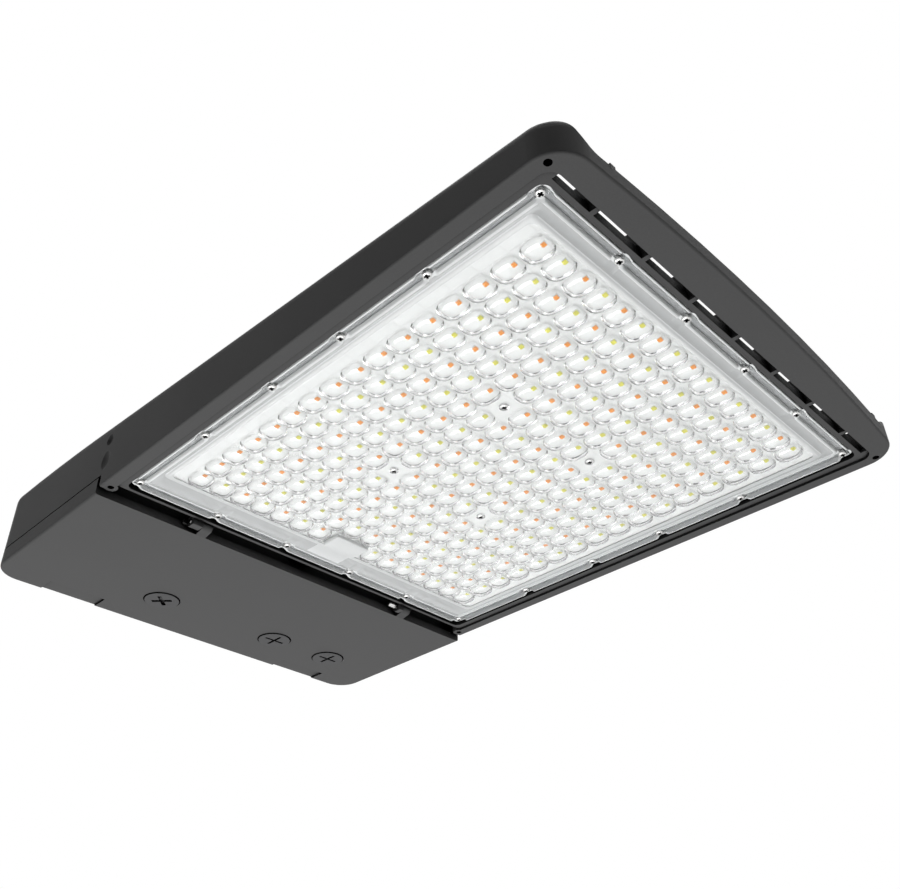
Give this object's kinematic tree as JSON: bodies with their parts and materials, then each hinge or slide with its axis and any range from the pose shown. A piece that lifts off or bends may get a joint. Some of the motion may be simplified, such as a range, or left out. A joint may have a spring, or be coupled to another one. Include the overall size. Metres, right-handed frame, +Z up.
{
  "type": "area light",
  "caption": "Pole-mounted LED area light: wedge-shaped cast housing, clear optic plate over an LED grid, vented nose and a hinged driver door with turn locks.",
  "frame": {"origin": "middle of the arm's bolt pattern on the outer face of the rear wall", "axes": "+Y from the rear wall to the nose, +Z up when the light hangs level, X across the width"},
  "size_m": [0.3494, 0.5603, 0.0653],
  "materials": {
    "cast_grey": "satin dark grey powder coat on an aluminium casting",
    "clear_optic": "clear moulded polycarbonate",
    "seal_rubber": "matt black silicone",
    "seal_pale": "grey silicone foam",
    "steel": "stainless steel",
    "board_white": "white solder mask",
    "pad_grey": "soft grey thermal pad",
    "led_orange": "warm phosphor",
    "led_yellow": "cool phosphor",
    "plastic_white": "moulded nylon",
    "plastic_black": "moulded black plastic",
    "lock_grey": "moulded dark grey nylon",
    "board_green": "green solder mask",
    "driver_case": "plain aluminium case",
    "wire_black": "black silicone insulation"
  },
  "bodies": {
    "housing": {"housing": "cast_grey", "lens_plate": "clear_optic", "lens_gasket": "seal_pale", "lens_screws": "steel", "centre_screws": "steel", "led_board": "board_white", "thermal_pad": "pad_grey", "warm_leds": "led_orange", "cool_leds": "led_yellow", "board_connector": "plastic_white", "selector_board": "board_green", "power_switch": "plastic_black", "colour_switch": "plastic_black", "selector_screws": "steel", "led_driver": "driver_case", "driver_screws": "steel", "surge_protector": "plastic_black", "surge_screws": "steel", "surge_leads": "wire_black", "terminal_block": "plastic_white", "terminal_screws": "steel", "wire_entry_grommet": "seal_rubber", "lead_grommet": "seal_rubber", "dc_lead": "wire_black", "input_leads": "wire_black", "selector_lead": "wire_black", "ground_screw": "steel"},
    "door": {"driver_door": "cast_grey", "door_gasket": "seal_rubber", "hinge_pin_left": "steel", "hinge_pin_right": "steel", "lock_seals": "seal_rubber", "port_seal": "seal_rubber"},
    "lock_left": {"turn_lock_left": "lock_grey", "lock_cam_left": "steel"},
    "lock_right": {"turn_lock_right": "lock_grey", "lock_cam_right": "steel"},
    "plug": {"port_plug": "lock_grey"},
    "power_knob": {"power_slider": "plastic_white"},
    "colour_knob": {"colour_slider": "plastic_white"}
  },
  "joints": [
    {"name": "door_hinge", "type": "hinge", "parent": "housing", "child": "door", "pos_m": [0, 0.16, -0.0315], "axis": [1, 0, 0], "range_deg": [0, 95]},
    {"name": "lock_left_turn", "type": "hinge", "parent": "door", "child": "lock_left", "pos_m": [0.056, 0.0475, -0.037], "axis": [0, 0, 1], "range_deg": [0, 90]},
    {"name": "lock_right_turn", "type": "hinge", "parent": "door", "child": "lock_right", "pos_m": [-0.056, 0.0475, -0.037], "axis": [0, 0, 1], "range_deg": [0, 90]},
    {"name": "plug_turn", "type": "hinge", "parent": "door", "child": "plug", "pos_m": [-0.1155, 0.048, -0.037], "axis": [0, 0, 1], "range_deg": [0, 90]},
    {"name": "power_slide", "type": "slide", "parent": "housing", "child": "power_knob", "axis": [1, 0, 0], "range_m": [-0.002, 0.002]},
    {"name": "colour_slide", "type": "slide", "parent": "housing", "child": "colour_knob", "axis": [1, 0, 0], "range_m": [-0.002, 0.002]}
  ]
}
